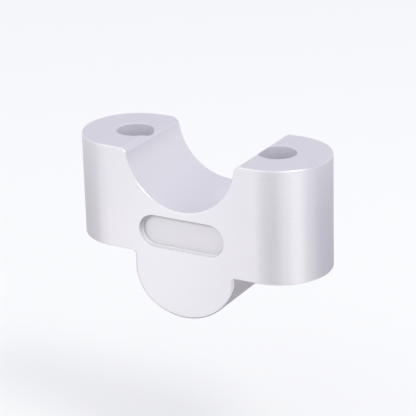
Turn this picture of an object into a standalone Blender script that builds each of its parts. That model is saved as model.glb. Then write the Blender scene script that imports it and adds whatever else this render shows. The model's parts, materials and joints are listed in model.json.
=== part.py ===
"""Bar riser for a motorcycle handlebar clamp, milled from one block of aluminium.

The riser sits in the lower half of the clamp, where the handlebar used to lie, and
holds the bar in its own saddle, higher up. Two long bolts pass through its bosses.

X runs across the clamp, from bolt to bolt, Y along the handlebar, and Z up. The origin
is on the axis of the lower lobe, half way along it. Sizes are in metres.
"""
import math

import bmesh
import bpy
from mathutils import Matrix

# Bolts and bosses
BOLT_SPACING = 0.0380
BOLT_HOLE_DIAMETER = 0.0090
HOLE_CHAMFER = 0.00015
BOSS_SPACING = 0.0385
BOSS_RADIUS = 0.0125

# Saddle for the handlebar
BAR_DIAMETER = 0.0286
BAR_RISE = 0.02665
BAR_AXIS_ABOVE_TOP = 0.00075
SADDLE_CHAMFER_WIDTH = 0.0013
SADDLE_CHAMFER_DEPTH = 0.0009

# Lobe that takes the bar's place in the lower clamp, with corners as shares of its radius
LOBE_DIAMETER = 0.0286
LOBE_LEFT_TRIM = 0.0017
LOBE_RIGHT_TRIM = 0.0007
LOBE_LEFT_CORNER_SHARE = 0.727
LOBE_RIGHT_CORNER_SHARE = 0.315
LOBE_EDGE_ROUND = 0.0006

# Undersides that bear on the lower clamp, measured from the lobe's axis
LEFT_SEAT_HEIGHT = 0.0007
RIGHT_SEAT_HEIGHT = -0.0018
LEFT_INNER_RADIUS = 0.0012
RIGHT_INNER_RADIUS = 0.0004

# Rounds on the outer edges
TOP_EDGE_ROUND = 0.0004
LOWER_EDGE_ROUND = 0.00025

# Recess in the front face
POCKET_LENGTH = 0.0224
POCKET_HEIGHT = 0.0080
POCKET_DEPTH = 0.0016
POCKET_CENTRE_BELOW_TOP = 0.0195
POCKET_FLOOR_RADIUS = 0.0004

# Smoothness of the round stretches
ARC_STEP = math.radians(4.5)
EDGE_SEGMENTS = 3
SHARP_ANGLE = math.radians(30)

# How far a cutter reaches past the metal, and how close two points count as one
CLEAR = 0.002
SAME_POINT = 0.000002

# Sizes that follow
TOP_HEIGHT = BAR_RISE - BAR_AXIS_ABOVE_TOP
BAR_RADIUS = BAR_DIAMETER / 2
LOBE_RADIUS = LOBE_DIAMETER / 2
LEFT_CORNER_RADIUS = LOBE_LEFT_CORNER_SHARE * LOBE_RADIUS
RIGHT_CORNER_RADIUS = LOBE_RIGHT_CORNER_SHARE * LOBE_RADIUS
HOLE_X = BOLT_SPACING / 2
BOSS_X = BOSS_SPACING / 2
END_X = BOSS_X + BOSS_RADIUS


def clear_scene():
    for thing in list(bpy.data.objects):
        bpy.data.objects.remove(thing, do_unlink=True)


def new_collection(name):
    collection = bpy.data.collections.new(name)
    bpy.context.scene.collection.children.link(collection)
    return collection


def arc(centre, radius, start, end):
    """Points of an arc about centre, from one angle to another, both in radians."""
    steps = max(2, math.ceil(abs(end - start) / ARC_STEP))
    angles = [start + (end - start) * i / steps for i in range(steps + 1)]
    return [(centre[0] + radius * math.cos(a), centre[1] + radius * math.sin(a)) for a in angles]


def prism(name, outline, half_depth, turn, collection):
    """Solid of a closed flat outline, drawn in X and Y, made thick both ways and then turned."""
    curve = bpy.data.curves.new(name, "CURVE")
    curve.dimensions = "2D"
    curve.fill_mode = "BOTH"
    curve.extrude = half_depth
    spline = curve.splines.new("POLY")
    spline.points.add(len(outline) - 1)
    for point, (x, y) in zip(spline.points, outline):
        point.co = (x, y, 0, 1)
    spline.use_cyclic_u = True
    flat = bpy.data.objects.new(name, curve)
    collection.objects.link(flat)
    mesh = evaluated_mesh(flat, name)
    bpy.data.objects.remove(flat)
    bpy.data.curves.remove(curve)
    tidy(mesh)
    mesh.transform(turn)
    solid = bpy.data.objects.new(name, mesh)
    collection.objects.link(solid)
    return solid


def evaluated_mesh(thing, name):
    graph = bpy.context.evaluated_depsgraph_get()
    graph.update()
    mesh = bpy.data.meshes.new_from_object(thing.evaluated_get(graph))
    mesh.name = name
    return mesh


def tidy(mesh):
    """Joins the loose caps to the walls and makes each flat stretch one face."""
    work = bmesh.new()
    work.from_mesh(mesh)
    bmesh.ops.remove_doubles(work, verts=work.verts, dist=SAME_POINT)
    bmesh.ops.dissolve_limit(work, angle_limit=math.radians(0.05), verts=work.verts, edges=work.edges)
    bmesh.ops.recalc_face_normals(work, faces=work.faces)
    work.to_mesh(mesh)
    work.free()


def boolean(thing, operation, tool):
    modifier = thing.modifiers.new(tool.name, "BOOLEAN")
    modifier.operation = operation
    modifier.solver = "EXACT"
    modifier.object = tool


def hide_cutter(thing):
    thing.hide_render = True
    thing.display_type = "WIRE"


def stadium(half_spacing, radius):
    """Outline of two round ends joined by straight sides, about the origin."""
    right = arc((half_spacing, 0), radius, -math.pi / 2, math.pi / 2)
    left = arc((-half_spacing, 0), radius, math.pi / 2, 3 * math.pi / 2)
    return right + left


def saddle_side():
    """Right half of the saddle, from the bottom of the round up to the flat top."""
    foot_height = TOP_HEIGHT - SADDLE_CHAMFER_DEPTH
    angle = math.asin((BAR_RISE - foot_height) / BAR_RADIUS)
    round_part = arc((0, BAR_RISE), BAR_RADIUS, -math.pi / 2, -angle)
    foot_x = BAR_RADIUS * math.cos(angle)
    return round_part + [(foot_x + SADDLE_CHAMFER_WIDTH, TOP_HEIGHT)]


def lobe_side(trim, corner_radius, seat_height, inner_radius):
    """Right half of the lobe, from the underside of the boss down to its lowest point."""
    side_x = LOBE_RADIUS - trim
    inner = arc(
        (side_x + inner_radius, seat_height - inner_radius), inner_radius, math.pi / 2, math.pi
    )
    corner_x = side_x - corner_radius
    reach = LOBE_RADIUS - corner_radius
    corner_z = -math.sqrt(reach**2 - corner_x**2)
    touch = math.atan2(corner_z, corner_x)
    corner = arc((corner_x, corner_z), corner_radius, 0, touch)
    bottom = arc((0, 0), LOBE_RADIUS, touch, -math.pi / 2)
    return inner + corner[:-1] + bottom


def mirrored(points):
    return [(-x, z) for x, z in reversed(points)]


def front_outline():
    """Outline of the riser as the front shows it, anticlockwise from the saddle's bottom."""
    right_top = saddle_side()
    right_foot = lobe_side(
        LOBE_RIGHT_TRIM, RIGHT_CORNER_RADIUS, RIGHT_SEAT_HEIGHT, RIGHT_INNER_RADIUS
    )
    left_foot = mirrored(
        lobe_side(LOBE_LEFT_TRIM, LEFT_CORNER_RADIUS, LEFT_SEAT_HEIGHT, LEFT_INNER_RADIUS)
    )
    right_end = [(END_X + CLEAR, TOP_HEIGHT), (END_X + CLEAR, RIGHT_SEAT_HEIGHT)]
    left_end = [(-END_X - CLEAR, LEFT_SEAT_HEIGHT), (-END_X - CLEAR, TOP_HEIGHT)]
    clockwise = right_top + right_end + right_foot + left_foot[1:] + left_end
    clockwise += mirrored(right_top)[:-1]
    return clockwise[::-1]


def on_wall(point):
    """Whether a point lies on the upright wall that runs round the riser."""
    past_boss = max(0, abs(point.x) - BOSS_X)
    return abs(math.hypot(past_boss, point.y) - BOSS_RADIUS) < 5 * SAME_POINT


def lower_round(point):
    """Edge round at a point of the lower outline: small on the seats, full on the lobe."""
    left = point.x < 0
    seat_height = LEFT_SEAT_HEIGHT if left else RIGHT_SEAT_HEIGHT
    inner_radius = LEFT_INNER_RADIUS if left else RIGHT_INNER_RADIUS
    share = min(1, max(0, (seat_height - point.z) / inner_radius))
    return LOWER_EDGE_ROUND + share * (LOBE_EDGE_ROUND - LOWER_EDGE_ROUND)


def weigh_edges(mesh):
    """Gives each edge that runs round the top or the underside its share of the bevel."""
    widest = max(LOBE_EDGE_ROUND, TOP_EDGE_ROUND, LOWER_EDGE_ROUND)
    work = bmesh.new()
    work.from_mesh(mesh)
    weight = work.edges.layers.float.new("bevel_weight_edge")
    for edge in work.edges:
        start, end = (v.co for v in edge.verts)
        if not (on_wall(start) and on_wall(end)) or edge.calc_face_angle() < SHARP_ANGLE:
            continue
        faces_up = any(face.normal.z > 0.01 for face in edge.link_faces)
        size = TOP_EDGE_ROUND if faces_up else lower_round((start + end) / 2)
        edge[weight] = size / widest
    work.to_mesh(mesh)
    work.free()
    return widest


def make_body(parts, cutters):
    stand_up = Matrix.Rotation(math.pi / 2, 4, "X")
    front = prism("front_shape", front_outline(), BOSS_RADIUS + CLEAR, stand_up, cutters)
    tall = 2 * (TOP_HEIGHT + LOBE_RADIUS)
    plan = prism("plan_shape", stadium(BOSS_X, BOSS_RADIUS), tall, Matrix(), cutters)
    boolean(front, "INTERSECT", plan)
    mesh = evaluated_mesh(front, "riser_body")
    bpy.data.objects.remove(front)
    bpy.data.objects.remove(plan)
    tidy(mesh)
    widest = weigh_edges(mesh)
    body = bpy.data.objects.new("riser_body", mesh)
    parts.objects.link(body)
    bevel = body.modifiers.new("edge_rounds", "BEVEL")
    bevel.limit_method = "WEIGHT"
    bevel.use_clamp_overlap = False
    bevel.width = widest
    bevel.segments = EDGE_SEGMENTS
    return body


def make_hole_cutter(name, x, seat_height, cutters):
    """Turned cutter for one bolt hole, flared where it leaves the metal."""
    radius = BOLT_HOLE_DIAMETER / 2
    wide = radius + 2 * HOLE_CHAMFER
    profile = [
        (0, TOP_HEIGHT + CLEAR),
        (wide, TOP_HEIGHT + CLEAR),
        (wide, TOP_HEIGHT + HOLE_CHAMFER),
        (radius, TOP_HEIGHT - HOLE_CHAMFER),
        (radius, seat_height + HOLE_CHAMFER),
        (wide, seat_height - HOLE_CHAMFER),
        (wide, seat_height - CLEAR),
        (0, seat_height - CLEAR),
    ]
    mesh = bpy.data.meshes.new(name)
    work = bmesh.new()
    points = [work.verts.new((r, 0, z)) for r, z in profile]
    for start, end in zip(points, points[1:]):
        work.edges.new((start, end))
    work.to_mesh(mesh)
    work.free()
    cutter = bpy.data.objects.new(name, mesh)
    cutter.location.x = x
    cutters.objects.link(cutter)
    screw = cutter.modifiers.new("turn", "SCREW")
    screw.steps = screw.render_steps = round(2 * math.pi / ARC_STEP)
    screw.use_merge_vertices = True
    screw.merge_threshold = 0.00001
    hide_cutter(cutter)
    return cutter


def make_pocket_cutter(cutters):
    """Round-ended slot cutter for the front recess, with the end mill's corner radius."""
    radius = POCKET_HEIGHT / 2
    stand_up = Matrix.Rotation(math.pi / 2, 4, "X")
    half_depth = (POCKET_DEPTH + CLEAR) / 2
    outline = stadium(POCKET_LENGTH / 2 - radius, radius)
    cutter = prism("pocket_cutter", outline, half_depth, stand_up, cutters)
    cutter.location = (
        0,
        POCKET_DEPTH - half_depth - BOSS_RADIUS,
        TOP_HEIGHT - POCKET_CENTRE_BELOW_TOP,
    )
    bevel = cutter.modifiers.new("floor_round", "BEVEL")
    bevel.limit_method = "ANGLE"
    bevel.angle_limit = SHARP_ANGLE
    bevel.width = POCKET_FLOOR_RADIUS
    bevel.segments = EDGE_SEGMENTS
    hide_cutter(cutter)
    return cutter


def satin_aluminium():
    material = bpy.data.materials.new("satin_aluminium")
    material.use_nodes = True
    shader = material.node_tree.nodes["Principled BSDF"]
    shader.inputs["Base Color"].default_value = (0.82, 0.81, 0.85, 1)
    shader.inputs["Metallic"].default_value = 1.0
    shader.inputs["Roughness"].default_value = 0.38
    return material


def main():
    clear_scene()
    parts = new_collection("bar_riser")
    cutters = new_collection("cutters")
    body = make_body(parts, cutters)
    boolean(body, "DIFFERENCE", make_hole_cutter("left_hole", -HOLE_X, LEFT_SEAT_HEIGHT, cutters))
    boolean(body, "DIFFERENCE", make_hole_cutter("right_hole", HOLE_X, RIGHT_SEAT_HEIGHT, cutters))
    boolean(body, "DIFFERENCE", make_pocket_cutter(cutters))
    body.data.shade_smooth()
    body.data.set_sharp_from_angle(angle=SHARP_ANGLE)
    body.data.materials.append(satin_aluminium())


main()
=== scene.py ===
import json
import math

import bmesh
import bpy
from mathutils import Matrix, Vector


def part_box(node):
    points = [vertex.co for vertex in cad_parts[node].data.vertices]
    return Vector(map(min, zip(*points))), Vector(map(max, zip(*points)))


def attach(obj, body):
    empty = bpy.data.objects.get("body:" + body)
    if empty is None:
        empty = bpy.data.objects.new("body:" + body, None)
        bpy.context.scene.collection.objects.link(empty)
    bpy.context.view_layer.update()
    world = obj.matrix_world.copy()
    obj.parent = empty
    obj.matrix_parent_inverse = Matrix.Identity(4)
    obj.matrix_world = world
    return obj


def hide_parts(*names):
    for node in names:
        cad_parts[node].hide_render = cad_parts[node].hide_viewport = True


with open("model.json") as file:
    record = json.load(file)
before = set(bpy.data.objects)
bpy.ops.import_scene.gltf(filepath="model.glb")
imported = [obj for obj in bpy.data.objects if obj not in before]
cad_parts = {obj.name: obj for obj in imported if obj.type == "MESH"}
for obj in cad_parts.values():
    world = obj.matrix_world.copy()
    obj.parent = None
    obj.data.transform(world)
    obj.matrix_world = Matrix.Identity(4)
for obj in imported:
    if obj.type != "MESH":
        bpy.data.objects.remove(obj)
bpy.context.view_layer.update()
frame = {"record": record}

# Sizes that the frame gives
LOWEST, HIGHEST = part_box("riser_body")
MOUNT_HEIGHTS = {mount["name"]: mount["pos_m"][2] for mount in frame["record"]["mounts"]}
BOSS_RADIUS = HIGHEST.y
BOSS_X = HIGHEST.x - BOSS_RADIUS
END_X = HIGHEST.x
TOP_HEIGHT = HIGHEST.z
LOBE_RADIUS = -LOWEST.z
LEFT_SEAT_HEIGHT = MOUNT_HEIGHTS["left_clamp_seat"]
RIGHT_SEAT_HEIGHT = MOUNT_HEIGHTS["right_clamp_seat"]

# Saddle for the handlebar
BAR_RADIUS = 0.0143
BAR_AXIS_ABOVE_TOP = 0.00075
BAR_RISE = TOP_HEIGHT + BAR_AXIS_ABOVE_TOP
SADDLE_CHAMFER_WIDTH = 0.0013
SADDLE_CHAMFER_DEPTH = 0.0009
CHAMFER_EASE = 0.0003

# Lobe under the body
LOBE_LEFT_TRIM = 0.0017
LOBE_RIGHT_TRIM = 0.0007
LEFT_CORNER_RADIUS = 0.727 * LOBE_RADIUS
RIGHT_CORNER_RADIUS = 0.315 * LOBE_RADIUS
LEFT_INNER_RADIUS = 0.0012
RIGHT_INNER_RADIUS = 0.0004

# Rounds on the outer edges
TOP_EDGE_ROUND = 0.0004
LOWER_EDGE_ROUND = 0.00025
LOBE_EDGE_ROUND = 0.0006

# Bolt holes
HOLE_X = 0.0190
HOLE_RADIUS = 0.0045
HOLE_CHAMFER = 0.00015

# Recess in the front face
POCKET_LENGTH = 0.0224
POCKET_HEIGHT = 0.0080
POCKET_DEPTH = 0.0016
POCKET_Z = TOP_HEIGHT - 0.0195
POCKET_FLOOR_RADIUS = 0.0004
POCKET_RIM_EASE = 0.00012

# How fine the curves are, and how many faces go round an edge. The lobe's inner corners
# have longer steps, so that the edge round can grow along them without a fold.
ARC_STEP = math.radians(2)
INNER_ARC_STEP = math.radians(4.5)
ROUND_SEGMENTS = 6
CHAMFER_EASE_SEGMENTS = 4
RIM_SEGMENTS = 3

# How far a cutter reaches past the metal
CLEAR = 0.002

# What counts as one point, as a point of the wall, as one flat and as a sharp edge
SAME_POINT = 0.000002
SAME_WALL = 0.00001
SAME_FLAT = math.radians(0.05)
SHARP_ANGLE = math.radians(30)

# How much of a face's normal points one way, from not at all to straight
NO_LEAN = 0.01
SOME_LEAN = 0.1
FACES_MOSTLY = 0.9
FACES_STRAIGHT = 0.9999

FULL_TURN = 2 * math.pi
TOWARDS_FRONT = (0, -1, 0)


def line(work, start, x, z):
    """Draws a straight edge from a vertex to a point of the front view, and returns its end."""
    end = work.verts.new((x, 0, z))
    work.edges.new((start, end))
    return end


def arc(work, start, x, z, angle, step=ARC_STEP):
    """Swings a vertex about a point of the front view, anticlockwise, and returns its end."""
    steps = max(2, math.ceil(abs(angle) / step))
    swung = bmesh.ops.spin(
        work, geom=[start], cent=(x, 0, z), axis=TOWARDS_FRONT, angle=angle, steps=steps
    )
    return swung["geom_last"][0]


def fill_and_draw(work, direction):
    """Fills a closed outline and draws it out into a solid."""
    bmesh.ops.remove_doubles(work, verts=work.verts, dist=SAME_POINT)
    face = bmesh.ops.contextual_create(work, geom=work.edges[:])["faces"][0]
    grown = bmesh.ops.extrude_face_region(work, geom=[face])["geom"]
    far_side = [part for part in grown if isinstance(part, bmesh.types.BMVert)]
    bmesh.ops.translate(work, vec=direction, verts=far_side)
    bmesh.ops.recalc_face_normals(work, faces=work.faces)


def ease(work, corners, size, segments, kind="EDGES"):
    """Rounds some edges of a bmesh, or some corners of an outline."""
    bmesh.ops.bevel(
        work,
        geom=corners,
        offset=size,
        segments=segments,
        profile=0.5,
        affect=kind,
        material=-1,
    )


def make_piece(name, work):
    """Makes an object of a finished bmesh."""
    mesh = bpy.data.meshes.new(name)
    work.to_mesh(mesh)
    work.free()
    piece = bpy.data.objects.new(name, mesh)
    bpy.context.scene.collection.objects.link(piece)
    return piece


def apply_modifiers(piece):
    """Puts what the modifiers make into the piece's own mesh."""
    graph = bpy.context.evaluated_depsgraph_get()
    graph.update()
    mesh = bpy.data.meshes.new_from_object(piece.evaluated_get(graph))
    piece.modifiers.clear()
    piece.data = mesh


def combine(piece, operation, tool):
    """Cuts a piece by a tool, or keeps what the two share, and takes the tool away."""
    modifier = piece.modifiers.new(tool.name, "BOOLEAN")
    modifier.operation = operation
    modifier.solver = "EXACT"
    modifier.object = tool
    apply_modifiers(piece)
    bpy.data.objects.remove(tool)


def draw_half(work, side, trim, corner_radius, seat_height, inner_radius):
    """Draws half of the front outline, from the lobe's lowest point to the saddle's.

    side is 1 for the right half and -1 for the left one. Returns the two corners of the
    saddle's chamfer.
    """
    lobe_side = LOBE_RADIUS - trim
    corner_x = lobe_side - corner_radius
    corner_z = -math.sqrt((LOBE_RADIUS - corner_radius) ** 2 - corner_x**2)
    touch = math.atan2(corner_z, corner_x)
    foot_height = TOP_HEIGHT - SADDLE_CHAMFER_DEPTH
    foot_angle = math.asin((BAR_RISE - foot_height) / BAR_RADIUS)
    foot_x = BAR_RADIUS * math.cos(foot_angle)
    inner_x = lobe_side + inner_radius
    inner_z = seat_height - inner_radius
    quarter = math.pi / 2

    point = work.verts.new((0, 0, -LOBE_RADIUS))
    point = arc(work, point, 0, 0, side * (touch + quarter))
    point = arc(work, point, side * corner_x, corner_z, side * -touch)
    point = line(work, point, side * lobe_side, inner_z)
    point = arc(work, point, side * inner_x, inner_z, side * -quarter, INNER_ARC_STEP)
    point = line(work, point, side * (END_X + CLEAR), seat_height)
    point = line(work, point, side * (END_X + CLEAR), TOP_HEIGHT)
    chamfer_top = line(work, point, side * (foot_x + SADDLE_CHAMFER_WIDTH), TOP_HEIGHT)
    chamfer_foot = line(work, chamfer_top, side * foot_x, foot_height)
    arc(work, chamfer_foot, 0, BAR_RISE, side * (foot_angle - quarter))
    return [chamfer_top, chamfer_foot]


def make_front_block():
    """The riser as its front outline shows it, drawn along the handlebar and still square."""
    work = bmesh.new()
    corners = draw_half(
        work, 1, LOBE_RIGHT_TRIM, RIGHT_CORNER_RADIUS, RIGHT_SEAT_HEIGHT, RIGHT_INNER_RADIUS
    )
    corners += draw_half(
        work, -1, LOBE_LEFT_TRIM, LEFT_CORNER_RADIUS, LEFT_SEAT_HEIGHT, LEFT_INNER_RADIUS
    )
    bmesh.ops.remove_doubles(work, verts=work.verts, dist=SAME_POINT)
    bmesh.ops.contextual_create(work, geom=work.edges[:])
    ease(work, corners, CHAMFER_EASE, CHAMFER_EASE_SEGMENTS, "VERTICES")
    bmesh.ops.delete(work, geom=work.faces[:], context="FACES_ONLY")
    half_depth = BOSS_RADIUS + CLEAR
    bmesh.ops.translate(work, vec=(0, -half_depth, 0), verts=work.verts)
    fill_and_draw(work, (0, 2 * half_depth, 0))
    return make_piece("riser", work)


def draw_slot(half_spacing, radius):
    """Starts a bmesh with the outline of a slot, lying in the front view about the origin."""
    work = bmesh.new()
    point = work.verts.new((half_spacing, 0, -radius))
    point = arc(work, point, half_spacing, 0, math.pi)
    point = line(work, point, -half_spacing, radius)
    point = arc(work, point, -half_spacing, 0, math.pi)
    line(work, point, half_spacing, -radius)
    return work


def make_plan_block():
    """The riser as its top shows it: two round bosses and straight walls between them."""
    work = draw_slot(BOSS_X, BOSS_RADIUS)
    lay_down = Matrix.Rotation(math.pi / 2, 3, "X")
    bmesh.ops.rotate(work, cent=(0, 0, 0), matrix=lay_down, verts=work.verts)
    bmesh.ops.translate(work, vec=(0, 0, -LOBE_RADIUS - CLEAR), verts=work.verts)
    fill_and_draw(work, (0, 0, LOBE_RADIUS + TOP_HEIGHT + 2 * CLEAR))
    return make_piece("plan_block", work)


def tidy(mesh):
    """Joins double points and makes each flat stretch one face."""
    work = bmesh.new()
    work.from_mesh(mesh)
    bmesh.ops.remove_doubles(work, verts=work.verts, dist=SAME_POINT)
    bmesh.ops.dissolve_limit(
        work, angle_limit=SAME_FLAT, verts=work.verts, edges=work.edges
    )
    work.to_mesh(mesh)
    work.free()


def on_wall(point):
    """Whether a point lies on the upright wall that runs round the riser."""
    past_boss = max(0, abs(point.x) - BOSS_X)
    return abs(math.hypot(past_boss, point.y) - BOSS_RADIUS) < SAME_WALL


def lower_round(point):
    """Edge round at a point of the lower outline: small on the seats, full on the lobe."""
    left = point.x < 0
    seat_height = LEFT_SEAT_HEIGHT if left else RIGHT_SEAT_HEIGHT
    inner_radius = LEFT_INNER_RADIUS if left else RIGHT_INNER_RADIUS
    below_seat = min(1, max(0, (seat_height - point.z) / inner_radius))
    share = 1 - (1 - below_seat) ** 2
    return LOWER_EDGE_ROUND + share * (LOBE_EDGE_ROUND - LOWER_EDGE_ROUND)


def round_outer_edges(piece):
    """Rounds each edge between the upright wall and the top, the saddle or the underside."""
    work = bmesh.new()
    work.from_mesh(piece.data)
    weight = work.edges.layers.float.new("bevel_weight_edge")
    for edge in work.edges:
        start, end = (v.co for v in edge.verts)
        if not (on_wall(start) and on_wall(end)) or edge.calc_face_angle() < SHARP_ANGLE:
            continue
        faces_up = any(face.normal.z > NO_LEAN for face in edge.link_faces)
        size = TOP_EDGE_ROUND if faces_up else lower_round((start + end) / 2)
        edge[weight] = size / LOBE_EDGE_ROUND
    work.to_mesh(piece.data)
    work.free()
    bevel = piece.modifiers.new("edge_rounds", "BEVEL")
    bevel.limit_method = "WEIGHT"
    bevel.use_clamp_overlap = False
    bevel.width = LOBE_EDGE_ROUND
    bevel.segments = ROUND_SEGMENTS
    apply_modifiers(piece)


def make_hole_cutter(name, x, seat_height):
    """Turned cutter for one bolt hole, flared where it leaves the metal."""
    flare = HOLE_RADIUS + 2 * HOLE_CHAMFER
    work = bmesh.new()
    point = work.verts.new((x, 0, TOP_HEIGHT + CLEAR))
    point = line(work, point, x + flare, TOP_HEIGHT + CLEAR)
    point = line(work, point, x + flare, TOP_HEIGHT + HOLE_CHAMFER)
    point = line(work, point, x + HOLE_RADIUS, TOP_HEIGHT - HOLE_CHAMFER)
    point = line(work, point, x + HOLE_RADIUS, seat_height + HOLE_CHAMFER)
    point = line(work, point, x + flare, seat_height - HOLE_CHAMFER)
    point = line(work, point, x + flare, seat_height - CLEAR)
    line(work, point, x, seat_height - CLEAR)
    bmesh.ops.spin(
        work,
        geom=work.verts[:] + work.edges[:],
        cent=(x, 0, 0),
        axis=(0, 0, 1),
        angle=FULL_TURN,
        steps=round(FULL_TURN / ARC_STEP),
        use_merge=True,
    )
    bmesh.ops.remove_doubles(work, verts=work.verts, dist=SAME_POINT)
    bmesh.ops.recalc_face_normals(work, faces=work.faces)
    return make_piece(name, work)


def all_at(edge, y):
    """Whether an edge lies at one depth along the bar."""
    return all(abs(v.co.y - y) < SAME_POINT for v in edge.verts)


def make_pocket_cutter():
    """Cutter of the front recess: a slot with round ends and the end mill's corner radius."""
    radius = POCKET_HEIGHT / 2
    floor_y = POCKET_DEPTH - BOSS_RADIUS
    work = draw_slot(POCKET_LENGTH / 2 - radius, radius)
    bmesh.ops.translate(work, vec=(0, floor_y, POCKET_Z), verts=work.verts)
    fill_and_draw(work, (0, -POCKET_DEPTH - CLEAR, 0))
    floor_edges = [edge for edge in work.edges if all_at(edge, floor_y)]
    ease(work, floor_edges, POCKET_FLOOR_RADIUS, ROUND_SEGMENTS)
    return make_piece("pocket_cutter", work)


def ease_pocket_rim(piece):
    """Breaks the sharp rim of the recess."""
    work = bmesh.new()
    work.from_mesh(piece.data)
    rim = []
    for edge in work.edges:
        near = all(
            abs(v.co.z - POCKET_Z) < POCKET_HEIGHT / 2 + SAME_POINT
            and abs(v.co.x) < POCKET_LENGTH / 2 + SAME_POINT
            for v in edge.verts
        )
        if near and all_at(edge, -BOSS_RADIUS) and edge.calc_face_angle() > SHARP_ANGLE:
            rim.append(edge)
    ease(work, rim, POCKET_RIM_EASE, RIM_SEGMENTS)
    work.to_mesh(piece.data)
    work.free()


# The finishes, in the order of the riser's material slots
(
    BRUSHED_WALL,
    EASED_EDGE,
    FACED_FLAT,
    MILLED_SADDLE,
    DRILLED_HOLE,
    POCKET_FLOOR,
    POCKET_WALL,
    MILLED_LOBE,
) = range(8)


def in_pocket(point):
    """Whether a point lies in the recess or on its eased rim."""
    deep = SAME_POINT < point.y + BOSS_RADIUS < POCKET_DEPTH + SAME_POINT
    level = abs(point.z - POCKET_Z) < POCKET_HEIGHT / 2 + POCKET_RIM_EASE
    return deep and level and abs(point.x) < POCKET_LENGTH / 2 + POCKET_RIM_EASE


def surface_of(face):
    """Which of the riser's surfaces a face belongs to."""
    centre = face.calc_center_median()
    past_boss = math.copysign(max(0, abs(centre.x) - BOSS_X), centre.x)
    outwards = Vector((past_boss, centre.y, 0))
    inside_wall = BOSS_RADIUS - outwards.length > TOP_EDGE_ROUND
    along_bar = abs(face.normal.y) < NO_LEAN and inside_wall
    from_bolt = Vector((centre.x - math.copysign(HOLE_X, centre.x), centre.y, 0))
    faces_bolt = face.normal.dot(from_bolt) < -SAME_POINT
    if faces_bolt and from_bolt.length < HOLE_RADIUS + HOLE_CHAMFER:
        return DRILLED_HOLE
    if in_pocket(centre):
        below_rim = centre.y + BOSS_RADIUS > POCKET_RIM_EASE
        is_floor = face.normal.y < -FACES_MOSTLY and below_rim
        return POCKET_FLOOR if is_floor else POCKET_WALL
    if along_bar and math.hypot(centre.x, centre.z - BAR_RISE) < BAR_RADIUS + SAME_POINT:
        return MILLED_SADDLE
    if along_bar:
        return FACED_FLAT if face.normal.z > SOME_LEAN else MILLED_LOBE
    if face.normal.dot(outwards.normalized()) > FACES_STRAIGHT:
        return BRUSHED_WALL
    return EASED_EDGE


def make_riser():
    """The whole riser, with each face given to its finish."""
    riser = make_front_block()
    combine(riser, "INTERSECT", make_plan_block())
    tidy(riser.data)
    round_outer_edges(riser)
    combine(riser, "DIFFERENCE", make_hole_cutter("left_hole", -HOLE_X, LEFT_SEAT_HEIGHT))
    combine(riser, "DIFFERENCE", make_hole_cutter("right_hole", HOLE_X, RIGHT_SEAT_HEIGHT))
    combine(riser, "DIFFERENCE", make_pocket_cutter())
    tidy(riser.data)
    ease_pocket_rim(riser)
    work = bmesh.new()
    work.from_mesh(riser.data)
    for face in work.faces:
        face.material_index = surface_of(face)
    work.to_mesh(riser.data)
    work.free()
    riser.data.shade_smooth()
    riser.data.set_sharp_from_angle(angle=SHARP_ANGLE)
    flats = riser.modifiers.new("even_flats", "WEIGHTED_NORMAL")
    flats.keep_sharp = True
    flats.weight = 100
    return riser


# Colours
ALUMINIUM = (0.82, 0.81, 0.85)
WORN_ALUMINIUM = (0.81, 0.80, 0.84)
BORE_GREY = (0.70, 0.69, 0.75)
POCKET_TINT = (0.99, 0.98, 1.02)

# How deep the marks are pressed in
BRUSH_MARKS = 0.0000015
SADDLE_MARKS = 0.0000008
DRILL_RINGS = 0.000006
MATT_GRAIN = 0.000002

# How fine the recess's matt grain is
MATT_STRETCH = (1500, 1500, 1500)

# Greys of the recess, which paint its light and shade. On its floor they go by the distance
# from a line along the slot, a little below its middle: the floor's own grey near that line,
# and painted shade away from it, most of all under the upper rim. On its wall they go by
# height: a painted highlight low down, where the wall faces up, and painted shade under the
# upper rim. Each stop is a share of the way and a grey.
POCKET_LINE_DROP = 0.0004
POCKET_SHADE_FROM = 0.0028
POCKET_SHADE_TO = 0.0038
POCKET_FLOOR_TONE_AND_SHADE = ((0, 0.75), (0.35, 0.72), (0.7, 0.55), (1, 0.48))
POCKET_WALL_LIGHT_AND_SHADE = ((0, 0.88), (0.3, 0.86), (0.5, 0.72), (0.7, 0.52))


def new_finish(name, roughness, anisotropy=0, metallic=1, colour=ALUMINIUM):
    """A bare satin metal; each finish adds its own marks."""
    material = bpy.data.materials.new(name)
    material.use_nodes = True
    shader = material.node_tree.nodes["Principled BSDF"]
    shader.inputs["Base Color"].default_value = (*colour, 1)
    shader.inputs["Metallic"].default_value = metallic
    shader.inputs["Roughness"].default_value = roughness
    shader.inputs["Anisotropic"].default_value = anisotropy
    return material, material.node_tree, shader


def add(tree, kind, **settings):
    """Adds a node with some of its settings."""
    node = tree.nodes.new(kind)
    for name, value in settings.items():
        setattr(node, name, value)
    return node


def constant_direction(tree, shader, direction):
    """Spreads the shine along one direction, across the grain."""
    along = add(tree, "ShaderNodeCombineXYZ")
    for socket, value in zip(along.inputs, direction):
        socket.default_value = value
    tree.links.new(along.outputs["Vector"], shader.inputs["Tangent"])


def grain(tree, stretch, detail):
    """Noise on the piece's own coordinates, stretched into lines."""
    place = add(tree, "ShaderNodeTexCoord")
    mapping = add(tree, "ShaderNodeMapping")
    mapping.inputs["Scale"].default_value = stretch
    noise = add(tree, "ShaderNodeTexNoise")
    noise.inputs["Scale"].default_value = 1
    noise.inputs["Detail"].default_value = detail
    tree.links.new(place.outputs["Object"], mapping.inputs["Vector"])
    tree.links.new(mapping.outputs["Vector"], noise.inputs["Vector"])
    return noise.outputs["Fac"]


def ranged(tree, value, low, high):
    """Maps a 0 to 1 value to a range."""
    node = add(tree, "ShaderNodeMapRange")
    node.inputs["To Min"].default_value = low
    node.inputs["To Max"].default_value = high
    tree.links.new(value, node.inputs["Value"])
    return node.outputs["Result"]


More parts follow.
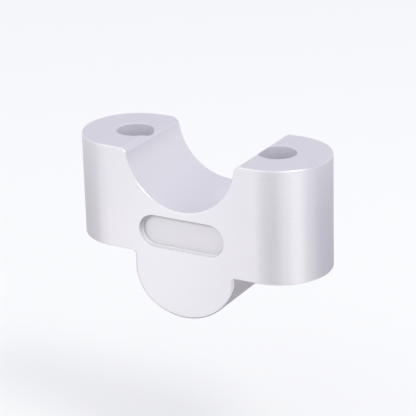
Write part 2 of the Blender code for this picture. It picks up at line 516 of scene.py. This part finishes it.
def press(tree, shader, height, distance):
    """Presses a height pattern into the surface."""
    bump = add(tree, "ShaderNodeBump")
    bump.inputs["Strength"].default_value = 1
    bump.inputs["Distance"].default_value = distance
    tree.links.new(height, bump.inputs["Height"])
    tree.links.new(bump.outputs["Normal"], shader.inputs["Normal"])


def shade(tree, shader, pattern, low, high):
    """Lets a pattern make the metal darker and lighter, from low to high."""
    scaled = add(tree, "ShaderNodeVectorMath", operation="SCALE")
    scaled.inputs[0].default_value = ALUMINIUM
    tree.links.new(ranged(tree, pattern, low, high), scaled.inputs["Scale"])
    tree.links.new(scaled.outputs["Vector"], shader.inputs["Base Color"])


def roughen(tree, shader, pattern, low, high):
    """Lets a pattern make the metal smoother and rougher, from low to high."""
    tree.links.new(ranged(tree, pattern, low, high), shader.inputs["Roughness"])


def brushed_wall():
    """The outer walls, brushed level all the way round."""
    material, tree, shader = new_finish("brushed_wall", roughness=0.42, anisotropy=0.8)
    constant_direction(tree, shader, (0, 0, 1))
    lines = grain(tree, stretch=(160, 160, 2600), detail=5)
    shade(tree, shader, lines, low=0.97, high=1.03)
    roughen(tree, shader, lines, low=0.37, high=0.47)
    press(tree, shader, lines, BRUSH_MARKS)
    return material


def eased_edge():
    """The rounded edges, worn a little smoother than the faces beside them."""
    return new_finish("eased_edge", roughness=0.28, colour=WORN_ALUMINIUM)[0]


def faced_flat():
    """The tops and the saddle's chamfers, with the face mill's lines along the bar."""
    material, tree, shader = new_finish("faced_flat", roughness=0.38, anisotropy=0.3)
    constant_direction(tree, shader, (1, 0, 0))
    lines = grain(tree, stretch=(2200, 120, 120), detail=5)
    shade(tree, shader, lines, low=0.96, high=1.04)
    roughen(tree, shader, lines, low=0.34, high=0.42)
    press(tree, shader, lines, BRUSH_MARKS)
    return material


def milled_saddle():
    """The saddle, with the boring tool's lines across the bar."""
    material, tree, shader = new_finish("milled_saddle", roughness=0.4, anisotropy=0.4)
    constant_direction(tree, shader, (0, 1, 0))
    lines = grain(tree, stretch=(120, 2600, 120), detail=5)
    shade(tree, shader, lines, low=1.005, high=1.035)
    roughen(tree, shader, lines, low=0.38, high=0.43)
    press(tree, shader, lines, SADDLE_MARKS)
    return material


def drilled_hole():
    """The bores, matt, with fine level rings from the drill."""
    material, tree, shader = new_finish(
        "drilled_hole", roughness=0.7, metallic=0.15, colour=BORE_GREY
    )
    rings = grain(tree, stretch=(120, 120, 3000), detail=4)
    press(tree, shader, rings, DRILL_RINGS)
    return material


def milled_lobe():
    """The lobe and the seats, with fine lines across the bar."""
    material, tree, shader = new_finish("milled_lobe", roughness=0.36)
    lines = grain(tree, stretch=(150, 7000, 150), detail=3)
    press(tree, shader, lines, BRUSH_MARKS)
    return material


def calculate(tree, operation, first, second=0.0):
    """One Math node; each input is a number or another node's output."""
    node = add(tree, "ShaderNodeMath", operation=operation)
    for socket, value in zip(node.inputs, (first, second)):
        if isinstance(value, float):
            socket.default_value = value
        else:
            tree.links.new(value, socket)
    return node.outputs["Value"]


def greys(tree, shader, value, start, end, stops):
    """Colours the metal by a value: a stop is a share of the way from start to end, and a grey."""
    share = add(tree, "ShaderNodeMapRange")
    share.inputs["From Min"].default_value = start
    share.inputs["From Max"].default_value = end
    ramp = add(tree, "ShaderNodeValToRGB")
    elements = ramp.color_ramp.elements
    elements.remove(elements[1])
    for number, (place, grey) in enumerate(stops):
        element = elements.new(place) if number else elements[0]
        element.position = place
        element.color = (*(grey * part for part in POCKET_TINT), 1)
    tree.links.new(value, share.inputs["Value"])
    tree.links.new(share.outputs["Result"], ramp.inputs["Fac"])
    tree.links.new(ramp.outputs["Color"], shader.inputs["Base Color"])


def object_axes(tree):
    """The piece's own X, Y and Z."""
    place = add(tree, "ShaderNodeTexCoord")
    split = add(tree, "ShaderNodeSeparateXYZ")
    tree.links.new(place.outputs["Object"], split.inputs["Vector"])
    return split.outputs


def pocket_floor():
    """The recess's floor: finely matt, with painted shade towards its rim, most under the upper
    rim.
    """
    material, tree, shader = new_finish("pocket_floor", roughness=0.5, metallic=0.7)
    axes = object_axes(tree)
    from_centre = calculate(tree, "ABSOLUTE", axes["X"])
    past_line = calculate(tree, "SUBTRACT", from_centre, (POCKET_LENGTH - POCKET_HEIGHT) / 2)
    along = calculate(tree, "MAXIMUM", past_line, 0.0)
    across = calculate(tree, "SUBTRACT", axes["Z"], POCKET_Z - POCKET_LINE_DROP)
    along_squared = calculate(tree, "MULTIPLY", along, along)
    across_squared = calculate(tree, "MULTIPLY", across, across)
    from_line = calculate(tree, "SQRT", calculate(tree, "ADD", along_squared, across_squared))
    # Painted shade: the floor's grey darkens away from the line, most of all under the upper rim.
    greys(tree, shader, from_line, POCKET_SHADE_FROM, POCKET_SHADE_TO, POCKET_FLOOR_TONE_AND_SHADE)
    press(tree, shader, grain(tree, MATT_STRETCH, detail=3), MATT_GRAIN)
    return material


def pocket_wall():
    """The recess's wall and rim: a painted highlight low down, where it faces up, and painted
    shade under the upper rim.
    """
    material, tree, shader = new_finish("pocket_wall", roughness=0.5, metallic=0.5)
    bottom = POCKET_Z - POCKET_HEIGHT / 2
    top = POCKET_Z + POCKET_HEIGHT / 2
    # Painted light and shade: lighter low on the wall, where it faces up, darker under the upper
    # rim.
    greys(tree, shader, object_axes(tree)["Z"], bottom, top, POCKET_WALL_LIGHT_AND_SHADE)
    press(tree, shader, grain(tree, MATT_STRETCH, detail=3), MATT_GRAIN)
    return material


riser = make_riser()
for finish in (
    brushed_wall,
    eased_edge,
    faced_flat,
    milled_saddle,
    drilled_hole,
    pocket_floor,
    pocket_wall,
    milled_lobe,
):
    riser.data.materials.append(finish())
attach(riser, "root")
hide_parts("riser_body")

# The camera, fitted to the photograph: it looks down on the front from the right
PHOTO_WIDTH_PIXELS = 416
FOCAL_LENGTH_PIXELS = 1973
SENSOR_WIDTH_MM = 36
NEAREST_SEEN = 0.01
CAMERA_YAW = math.radians(29.82)
CAMERA_PITCH = math.radians(21.19)
CAMERA_ROLL = math.radians(-1.525)
CAMERA_DISTANCE = 0.4644
AIM_BELOW_TOP = 0.015
AIM_LEFT = 0.000246
AIM_DOWN = 0.001707


def make_camera():
    """Turns the camera at the riser and makes it the scene's own."""
    level = Vector((math.sin(CAMERA_YAW), -math.cos(CAMERA_YAW), 0))
    back = math.cos(CAMERA_PITCH) * level + Vector((0, 0, math.sin(CAMERA_PITCH)))
    right = Vector((math.cos(CAMERA_YAW), math.sin(CAMERA_YAW), 0))
    up = back.cross(right)
    aim = Vector((0, 0, TOP_HEIGHT - AIM_BELOW_TOP)) + AIM_LEFT * right - AIM_DOWN * up
    camera_right = math.cos(CAMERA_ROLL) * right + math.sin(CAMERA_ROLL) * up
    camera_up = math.cos(CAMERA_ROLL) * up - math.sin(CAMERA_ROLL) * right
    turned = Matrix((camera_right, camera_up, back)).transposed().to_4x4()
    lens = bpy.data.cameras.new("camera")
    lens.sensor_width = SENSOR_WIDTH_MM
    lens.lens = FOCAL_LENGTH_PIXELS / PHOTO_WIDTH_PIXELS * SENSOR_WIDTH_MM
    lens.clip_start = NEAREST_SEEN
    camera = bpy.data.objects.new("camera", lens)
    camera.matrix_world = Matrix.Translation(aim + CAMERA_DISTANCE * back) @ turned
    bpy.context.scene.collection.objects.link(camera)
    bpy.context.scene.camera = camera


def bearing(azimuth, distance, height):
    """A place around the riser: 0 is in front of it, 90 to its right."""
    angle = math.radians(azimuth)
    return Vector((distance * math.sin(angle), -distance * math.cos(angle), height))


# The floor, well below the riser, and the light of the room
FLOOR_BELOW_LOBE = 0.040
FLOOR_HEIGHT = LOWEST.z - FLOOR_BELOW_LOBE
FLOOR_SIZE = 8.0
FLOOR_COLOUR = (0.905, 0.912, 0.912)
ROOM_LIGHT = (0.874, 0.868, 0.921)

# The softboxes: name, place, width, height and light. The front two are wide and weak, so
# that the metal mirrors them softly. The top one is a hair off the axis, which sets its turn.
SOFTBOXES = (
    ("left_softbox", bearing(-35, 1.2, 0.75), 1.6, 1.5, (0.33, 0.35, 0.255)),
    ("right_softbox", bearing(58, 1.2, 0.75), 1.6, 1.5, (0.255, 0.265, 0.222)),
    ("top_softbox", Vector((0, 0.0001, 1.3)), 0.5, 0.5, (0.26, 0.26, 0.22)),
    ("edge_softbox", bearing(70, 0.75, 1.05), 0.4, 0.4, (5.0, 5.0, 4.8)),
)

# The cards that only the metal mirrors. Bearings are in degrees. The high card is for the
# tops and the saddle, the side card for the right boss's edges.
CARD_DISTANCE = 0.075
CARD_STEPS = 24
HIGH_CARD_BEARINGS = (-190, -110)
HIGH_CARD_HEIGHTS = (0.034, 0.085)
HIGH_CARD_TONE = (0.77, 0.76, 0.84)
SIDE_CARD_BEARINGS = (98, 138)
SIDE_CARD_HEIGHTS = (0.068, 0.130)
SIDE_CARD_TONE = (0.55, 0.54, 0.60)
UNDER_CARD_HALF_WIDTH = 0.0385
UNDER_CARD_HALF_DEPTH = 0.034
UNDER_CARD_X = -0.0065
UNDER_CARD_Y = 0.0205
UNDER_CARD_BELOW_LOBE = 0.001
# The under card's tone is painted shade, which the riser's lower edges mirror.
UNDER_CARD_TONE = (0.44, 0.425, 0.455)

# The surround: a ring of panels from the floor to a little above the lobe. It is a plain grey
# that falls a little per degree, with lit places: bearing, spread and strength. The front tint
# reaches so many degrees to each side.
PANEL_TOP = 0.010
PANEL_WIDTH = 20
PANEL_CENTRES = range(-130, 191, PANEL_WIDTH)
PLAIN_GREY = 0.608
GREY_FALL = 0.00029
LIT_PLACES = ((-28, 32, 0.52), (68, 25, 0.45))
FRONT_REACH = 90
FRONT_TINT = (1.02, 1, 1.03)
BACK_TINT = (1.02, 1, 1.11)


def panel_tone(azimuth):
    """The surround's tone at a bearing, a little bluer behind the riser than in front."""
    grey = PLAIN_GREY - GREY_FALL * azimuth
    for place, spread, strength in LIT_PLACES:
        grey += strength * math.exp(-(((azimuth - place) / spread) ** 2))
    tint = FRONT_TINT if abs(azimuth) <= FRONT_REACH else BACK_TINT
    return [grey * share for share in tint]


def make_sheet(name, half_width, half_depth, x, y, z):
    """A flat level sheet about a point."""
    work = bmesh.new()
    bmesh.ops.create_grid(work, x_segments=1, y_segments=1, size=1)
    bmesh.ops.scale(work, vec=(half_width, half_depth, 1), verts=work.verts)
    bmesh.ops.translate(work, vec=(x, y, z), verts=work.verts)
    return make_piece(name, work)


def matt_material(name, colour, roughness):
    """A material with no shine."""
    material = bpy.data.materials.new(name)
    material.use_nodes = True
    shader = material.node_tree.nodes["Principled BSDF"]
    shader.inputs["Base Color"].default_value = (*colour, 1)
    shader.inputs["Roughness"].default_value = roughness
    shader.inputs["Specular IOR Level"].default_value = 0
    return material, shader


def make_floor():
    """The plain pale floor, which takes the riser's shadow."""
    floor = make_sheet("floor", FLOOR_SIZE / 2, FLOOR_SIZE / 2, 0, 0, FLOOR_HEIGHT)
    floor.data.materials.append(matt_material("pale_floor", FLOOR_COLOUR, roughness=0.9)[0])


def show_to_metal(card, tone):
    """Gives a card its tone. Only the metal mirrors it, and it casts no shadow."""
    material, shader = matt_material(card.name, (0, 0, 0), roughness=1)
    shader.inputs["Emission Color"].default_value = (*tone, 1)
    shader.inputs["Emission Strength"].default_value = 1
    card.data.materials.append(material)
    card.visible_camera = False
    card.visible_diffuse = False
    card.visible_shadow = False


def make_bent_card(name, bearings, heights, tone):
    """A grey card that bends round the riser, from one bearing to another."""
    start, end = bearings
    work = bmesh.new()
    foot, head = (work.verts.new(bearing(start, CARD_DISTANCE, height)) for height in heights)
    edge = work.edges.new((foot, head))
    bmesh.ops.spin(
        work,
        geom=[foot, head, edge],
        cent=(0, 0, 0),
        axis=(0, 0, 1),
        angle=math.radians(end - start),
        steps=CARD_STEPS,
    )
    show_to_metal(make_piece(name, work), tone)


def make_surround():
    """The ring of grey panels that the riser's walls mirror."""
    for centre in PANEL_CENTRES:
        bearings = (centre - PANEL_WIDTH / 2, centre + PANEL_WIDTH / 2)
        make_bent_card("panel", bearings, (FLOOR_HEIGHT, PANEL_TOP), panel_tone(centre))


def make_under_card():
    """A dark card under the riser that only the metal mirrors: a painted reflection of shade,
    which darkens its lower edges.
    """
    card = make_sheet(
        "under_card",
        UNDER_CARD_HALF_WIDTH,
        UNDER_CARD_HALF_DEPTH,
        UNDER_CARD_X,
        UNDER_CARD_Y,
        LOWEST.z - UNDER_CARD_BELOW_LOBE,
    )
    show_to_metal(card, UNDER_CARD_TONE)


def make_softbox(name, place, width, height, light):
    """A flat lamp that faces the riser and is as bright all over as its light says."""
    brightest = max(light)
    lamp = bpy.data.lights.new(name, "AREA")
    lamp.shape = "RECTANGLE"
    lamp.size = width
    lamp.size_y = height
    lamp.color = [share / brightest for share in light]
    lamp.energy = brightest * math.pi * width * height
    softbox = bpy.data.objects.new(name, lamp)
    facing = place.to_track_quat("Z", "Y").to_matrix().to_4x4()
    softbox.matrix_world = Matrix.Translation(place) @ facing
    softbox.visible_camera = False
    bpy.context.scene.collection.objects.link(softbox)


def make_studio():
    """The room, the floor, the lamps and the cards."""
    world = bpy.data.worlds.new("studio")
    world.use_nodes = True
    world.node_tree.nodes["Background"].inputs["Color"].default_value = (*ROOM_LIGHT, 1)
    bpy.context.scene.world = world
    make_floor()
    for softbox in SOFTBOXES:
        make_softbox(*softbox)
    make_surround()
    make_bent_card("high_card", HIGH_CARD_BEARINGS, HIGH_CARD_HEIGHTS, HIGH_CARD_TONE)
    make_bent_card("side_card", SIDE_CARD_BEARINGS, SIDE_CARD_HEIGHTS, SIDE_CARD_TONE)
    make_under_card()


make_camera()
make_studio()
bpy.context.scene.view_settings.view_transform = "Standard"
